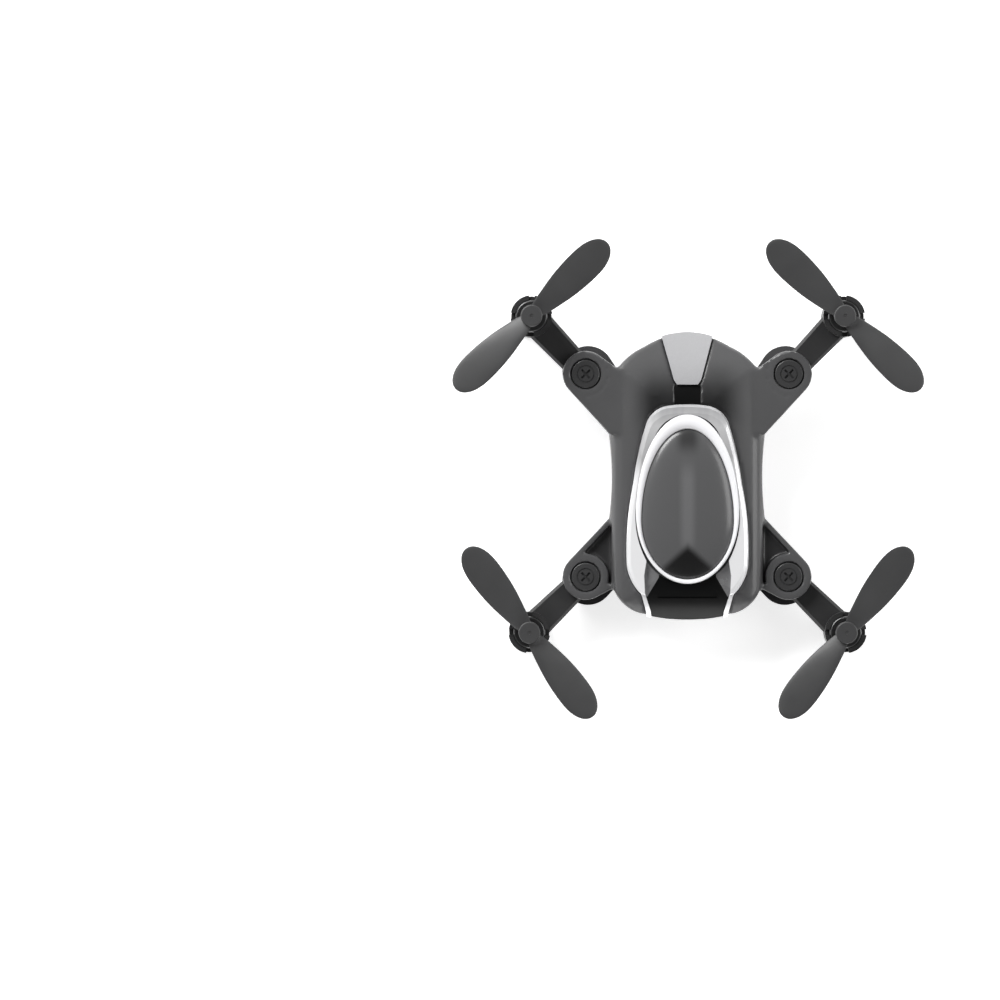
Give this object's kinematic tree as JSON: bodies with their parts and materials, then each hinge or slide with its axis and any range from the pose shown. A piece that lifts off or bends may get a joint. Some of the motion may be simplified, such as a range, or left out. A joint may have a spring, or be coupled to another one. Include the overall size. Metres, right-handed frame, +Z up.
{
  "type": "folding mini quadcopter drone",
  "caption": "Palm-size folding quadcopter with a rounded body, egg-shaped canopy in a pale hoop, hinged arms and two-blade propellers.",
  "frame": {"origin": "on the ground plane at the centre of the bounding box, arms open", "axes": "+Y to the nose, +X to the right side, +Z up"},
  "size_m": [0.1038, 0.1057, 0.0259],
  "materials": {
    "shell": "satin charcoal moulded plastic",
    "bezel": "gloss white-silver painted plastic",
    "ring": "gloss white plastic",
    "dome": "polished dark plastic",
    "black_gloss": "piano black plastic",
    "window": "grey tinted plastic",
    "nose_silver": "fine silver paint",
    "arm": "fine-grained dark plastic",
    "blade": "matt dark nylon",
    "hinge_cap": "satin charcoal plastic",
    "steel": "plain steel",
    "motor_can": "drawn steel",
    "motor_plastic": "natural nylon",
    "foot": "soft black",
    "board": "green solder mask",
    "chip": "black epoxy",
    "socket": "cream nylon",
    "port": "tinned steel",
    "battery": "silver foil film",
    "light": "clear lens"
  },
  "bodies": {
    "body": {"bottom_shell": "shell", "top_shell": "shell", "canopy_bezel": "bezel", "canopy_ring": "ring", "canopy_dome": "dome", "tail_panel": "black_gloss", "tail_window_left": "window", "tail_window_right": "window", "nose_plate": "nose_silver", "nose_inlay": "black_gloss", "battery_door": "shell", "main_board": "board", "usb_port": "port", "power_switch": "chip", "nose_light_left": "light", "nose_light_right": "light", "tail_light": "light", "battery": "battery", "control_chip": "chip", "radio_chip": "chip", "motion_sensor": "chip", "battery_socket": "socket", "driver_chips": "chip", "shell_screws": "steel", "board_screws": "steel", "battery_door_screw": "steel", "hinge_screws": "hinge_cap", "hinge_washers": "steel"},
    "power_button": {"power_button": "hinge_cap"},
    "arm_front_left": {"arm_front_left": "arm", "arm_cover_front_left": "arm", "motor_can_front_left": "motor_can", "motor_endcap_front_left": "motor_plastic", "motor_foot_front_left": "foot"},
    "propeller_front_left": {"propeller_front_left": "blade", "motor_shaft_front_left": "steel"},
    "arm_front_right": {"arm_front_right": "arm", "arm_cover_front_right": "arm", "motor_can_front_right": "motor_can", "motor_endcap_front_right": "motor_plastic", "motor_foot_front_right": "foot"},
    "propeller_front_right": {"propeller_front_right": "blade", "motor_shaft_front_right": "steel"},
    "arm_rear_left": {"arm_rear_left": "arm", "arm_cover_rear_left": "arm", "motor_can_rear_left": "motor_can", "motor_endcap_rear_left": "motor_plastic", "motor_foot_rear_left": "foot"},
    "propeller_rear_left": {"propeller_rear_left": "blade", "motor_shaft_rear_left": "steel"},
    "arm_rear_right": {"arm_rear_right": "arm", "arm_cover_rear_right": "arm", "motor_can_rear_right": "motor_can", "motor_endcap_rear_right": "motor_plastic", "motor_foot_rear_right": "foot"},
    "propeller_rear_right": {"propeller_rear_right": "blade", "motor_shaft_rear_right": "steel"}
  },
  "joints": [
    {"name": "power_button_press", "type": "slide", "parent": "body", "child": "power_button", "axis": [0, 0, 1], "range_m": [0, 0.0005], "stiffness_N_per_m": 500, "springref_m": -0.0004},
    {"name": "arm_fold_front_left", "type": "hinge", "parent": "body", "child": "arm_front_left", "pos_m": [-0.02246, 0.02325, 0.0103], "axis": [0, 0, 1], "range_deg": [0, 130]},
    {"name": "propeller_spin_front_left", "type": "hinge", "parent": "arm_front_left", "child": "propeller_front_left", "pos_m": [-0.03447, 0.03591, 0.0243], "axis": [0, 0, 1], "continuous": true},
    {"name": "arm_fold_front_right", "type": "hinge", "parent": "body", "child": "arm_front_right", "pos_m": [0.02246, 0.02325, 0.0103], "axis": [0, 0, -1], "range_deg": [0, 130]},
    {"name": "propeller_spin_front_right", "type": "hinge", "parent": "arm_front_right", "child": "propeller_front_right", "pos_m": [0.03447, 0.03591, 0.0243], "axis": [0, 0, 1], "continuous": true},
    {"name": "arm_fold_rear_left", "type": "hinge", "parent": "body", "child": "arm_rear_left", "pos_m": [-0.02246, -0.0216, 0.0073], "axis": [0, 0, -1], "range_deg": [0, 130]},
    {"name": "propeller_spin_rear_left", "type": "hinge", "parent": "arm_rear_left", "child": "propeller_rear_left", "pos_m": [-0.03493, -0.03381, 0.0213], "axis": [0, 0, 1], "continuous": true},
    {"name": "arm_fold_rear_right", "type": "hinge", "parent": "body", "child": "arm_rear_right", "pos_m": [0.02246, -0.0216, 0.0073], "axis": [0, 0, 1], "range_deg": [0, 130]},
    {"name": "propeller_spin_rear_right", "type": "hinge", "parent": "arm_rear_right", "child": "propeller_rear_right", "pos_m": [0.03493, -0.03381, 0.0213], "axis": [0, 0, 1], "continuous": true}
  ]
}
